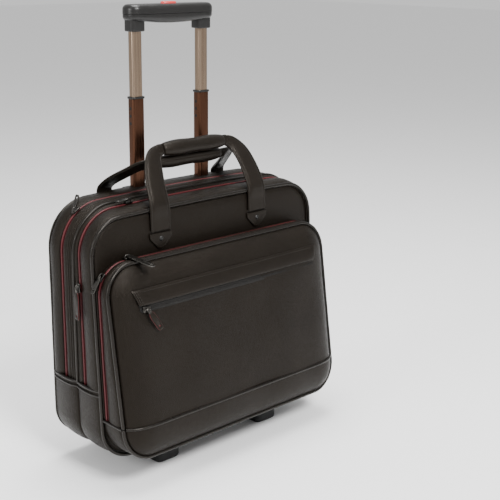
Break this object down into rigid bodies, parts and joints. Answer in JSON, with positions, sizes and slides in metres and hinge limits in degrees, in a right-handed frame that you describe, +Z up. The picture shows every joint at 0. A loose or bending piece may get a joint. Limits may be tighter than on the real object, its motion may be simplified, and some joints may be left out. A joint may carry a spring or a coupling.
{
  "type": "rolling laptop case",
  "caption": "Black leatherette rolling laptop case with zipped compartments, a bulging front pocket, a telescopic trolley handle, carry handles, rear wheels and front feet",
  "frame": {"origin": "on the floor, under the middle of the case's overall width and depth", "axes": "+Z up; the front pocket faces -Y, the trolley tubes are on the +Y side; X across the width"},
  "size_m": [0.4378, 0.1946, 0.661],
  "materials": {
    "leatherette": "fine grain black leatherette, soft sheen",
    "lining": "woven dark lining",
    "zip_tape": "dark red coil zip",
    "red_plastic": "satin red",
    "black_plastic": "satin black",
    "tyre": "matt",
    "bronze_tube": "anodised, brushed lengthways",
    "steel": "satin",
    "gunmetal": "dark nickel"
  },
  "bodies": {
    "case": {"rear_shell": "leatherette", "boot_tub": "leatherette", "base_board": "black_plastic", "lower_partition": "lining", "rear_zip_tape_rear": "zip_tape", "outer_tube_l": "steel", "outer_tube_r": "steel", "top_bezel": "black_plastic", "bottom_bracket": "black_plastic", "wheel_housing_l": "black_plastic", "wheel_housing_r": "black_plastic", "axle_l": "steel", "axle_r": "steel", "front_foot_l": "black_plastic", "front_foot_r": "black_plastic", "rear_handle_tab_l": "leatherette", "rear_handle_tab_r": "leatherette"},
    "mid_section": {"mid_shell": "leatherette", "rear_zip_tape_front": "zip_tape", "laptop_zip_tape_rear": "zip_tape"},
    "front_section": {"front_shell": "leatherette", "pocket_tub": "leatherette", "laptop_zip_tape_front": "zip_tape", "pocket_zip_tape_rear": "zip_tape", "front_handle_tab_l": "leatherette", "front_handle_tab_r": "leatherette"},
    "lid": {"pocket_lid": "leatherette", "pocket_zip_tape_front": "zip_tape", "slit_flap": "leatherette"},
    "wheel_l": {"tyre_l": "tyre", "hub_l": "black_plastic"},
    "wheel_r": {"tyre_r": "tyre", "hub_r": "black_plastic"},
    "middle_stage": {"middle_tube_l": "bronze_tube", "middle_tube_r": "bronze_tube", "collar_l": "black_plastic", "collar_r": "black_plastic"},
    "upper_stage": {"upper_tube_l": "bronze_tube", "upper_tube_r": "bronze_tube", "grip_upper_shell": "black_plastic", "grip_lower_shell": "black_plastic"},
    "button": {"release_button": "red_plastic"},
    "front_handle": {"front_handle_strap": "leatherette", "front_handle_wrap": "leatherette"},
    "rear_handle": {"rear_handle_strap": "leatherette", "rear_handle_wrap": "leatherette"},
    "rear_zip_slider": {"rear_zip_slider": "gunmetal"},
    "rear_zip_pull": {"rear_zip_pull": "gunmetal"},
    "laptop_zip_side_slider": {"laptop_zip_side_slider": "gunmetal"},
    "laptop_zip_side_pull": {"laptop_zip_side_pull": "leatherette"},
    "laptop_zip_top_slider": {"laptop_zip_top_slider": "gunmetal"},
    "laptop_zip_top_pull": {"laptop_zip_top_pull": "gunmetal"},
    "pocket_zip_top_slider": {"pocket_zip_top_slider": "gunmetal"},
    "pocket_zip_top_pull": {"pocket_zip_top_pull": "gunmetal"},
    "pocket_zip_corner_slider": {"pocket_zip_corner_slider": "gunmetal"},
    "pocket_zip_corner_pull": {"pocket_zip_corner_pull": "gunmetal"},
    "slit_zip_slider": {"slit_zip_slider": "gunmetal"},
    "slit_zip_pull": {"slit_zip_pull": "leatherette"}
  },
  "joints": [
    {"name": "rear_compartment_open", "type": "hinge", "parent": "case", "child": "mid_section", "pos_m": [0.0039, -0.034, 0.031], "axis": [1, 0, 0], "range_deg": [0, 15]},
    {"name": "laptop_compartment_open", "type": "hinge", "parent": "mid_section", "child": "front_section", "pos_m": [0.0039, -0.034, 0.031], "axis": [1, 0, 0], "range_deg": [0, 20]},
    {"name": "pocket_open", "type": "hinge", "parent": "front_section", "child": "lid", "pos_m": [0.0039, -0.098, 0.0962], "axis": [1, 0, 0], "range_deg": [0, 55]},
    {"name": "wheel_l_spin", "type": "hinge", "parent": "case", "child": "wheel_l", "pos_m": [-0.1221, 0.067, 0.03], "axis": [1, 0, 0], "continuous": true},
    {"name": "wheel_r_spin", "type": "hinge", "parent": "case", "child": "wheel_r", "pos_m": [0.1299, 0.067, 0.03], "axis": [1, 0, 0], "continuous": true},
    {"name": "middle_stage_slide", "type": "slide", "parent": "case", "child": "middle_stage", "axis": [0, 0, 1], "range_m": [-0.127, 0.132]},
    {"name": "upper_stage_slide", "type": "slide", "parent": "middle_stage", "child": "upper_stage", "axis": [0, 0, 1], "range_m": [-0.09, 0.15]},
    {"name": "button_press", "type": "slide", "parent": "upper_stage", "child": "button", "axis": [0, 0, -1], "range_m": [0, 0.004], "stiffness_N_per_m": 500},
    {"name": "front_handle_swing", "type": "hinge", "parent": "front_section", "child": "front_handle", "pos_m": [0.0039, -0.02196, 0.349], "axis": [1, 0, 0], "range_deg": [-1, 128]},
    {"name": "rear_handle_swing", "type": "hinge", "parent": "case", "child": "rear_handle", "pos_m": [0.0039, 0.0874, 0.384], "axis": [1, 0, 0], "range_deg": [-9, 12]},
    {"name": "rear_zip_run", "type": "hinge", "parent": "mid_section", "child": "rear_zip_slider", "pos_m": [-0.1451, 0.0526, 0.324], "axis": [0, 1, 0], "range_deg": [-48, 28]},
    {"name": "laptop_zip_side_run", "type": "slide", "parent": "front_section", "child": "laptop_zip_side_slider", "axis": [0, 0.022, 0.9998], "range_m": [-0.13, 0.035]},
    {"name": "laptop_zip_top_run", "type": "slide", "parent": "front_section", "child": "laptop_zip_top_slider", "axis": [1, 0, 0], "range_m": [-0.018, 0.27]},
    {"name": "pocket_zip_top_run", "type": "slide", "parent": "lid", "child": "pocket_zip_top_slider", "axis": [1, 0, 0], "range_m": [0, 0.32]},
    {"name": "pocket_zip_corner_run", "type": "hinge", "parent": "lid", "child": "pocket_zip_corner_slider", "pos_m": [-0.1641, -0.02958, 0.275], "axis": [0, 1, 0], "range_deg": [-33, 26]},
    {"name": "slit_zip_run", "type": "slide", "parent": "lid", "child": "slit_zip_slider", "axis": [1, 0, 0], "range_m": [0, 0.326]},
    {"name": "rear_zip_pull_flip", "type": "hinge", "parent": "rear_zip_slider", "child": "rear_zip_pull", "pos_m": [-0.18628, 0.0526, 0.38282], "axis": [0, 1, 0], "range_deg": [-125, 15]},
    {"name": "laptop_zip_side_pull_flip", "type": "hinge", "parent": "laptop_zip_side_slider", "child": "laptop_zip_side_pull", "pos_m": [-0.2169, 0.00964, 0.282], "axis": [0, 1, 0], "range_deg": [0, 150]},
    {"name": "laptop_zip_top_pull_flip", "type": "hinge", "parent": "laptop_zip_top_slider", "child": "laptop_zip_top_pull", "pos_m": [-0.1221, 0.01195, 0.39273], "axis": [0, 1, 0], "range_deg": [0, 150]},
    {"name": "pocket_zip_top_pull_flip", "type": "hinge", "parent": "pocket_zip_top_slider", "child": "pocket_zip_top_pull", "pos_m": [-0.1561, -0.02862, 0.3258], "axis": [1, 0, 0], "range_deg": [-95, 0]},
    {"name": "pocket_zip_corner_pull_flip", "type": "hinge", "parent": "pocket_zip_corner_slider", "child": "pocket_zip_corner_pull", "pos_m": [-0.20467, -0.02958, 0.30557], "axis": [0, 1, 0], "range_deg": [0, 120]},
    {"name": "slit_zip_pull_flip", "type": "hinge", "parent": "slit_zip_slider", "child": "slit_zip_pull", "pos_m": [-0.1591, -0.07662, 0.25988], "axis": [1, 0, 0], "range_deg": [-120, 0]}
  ]
}
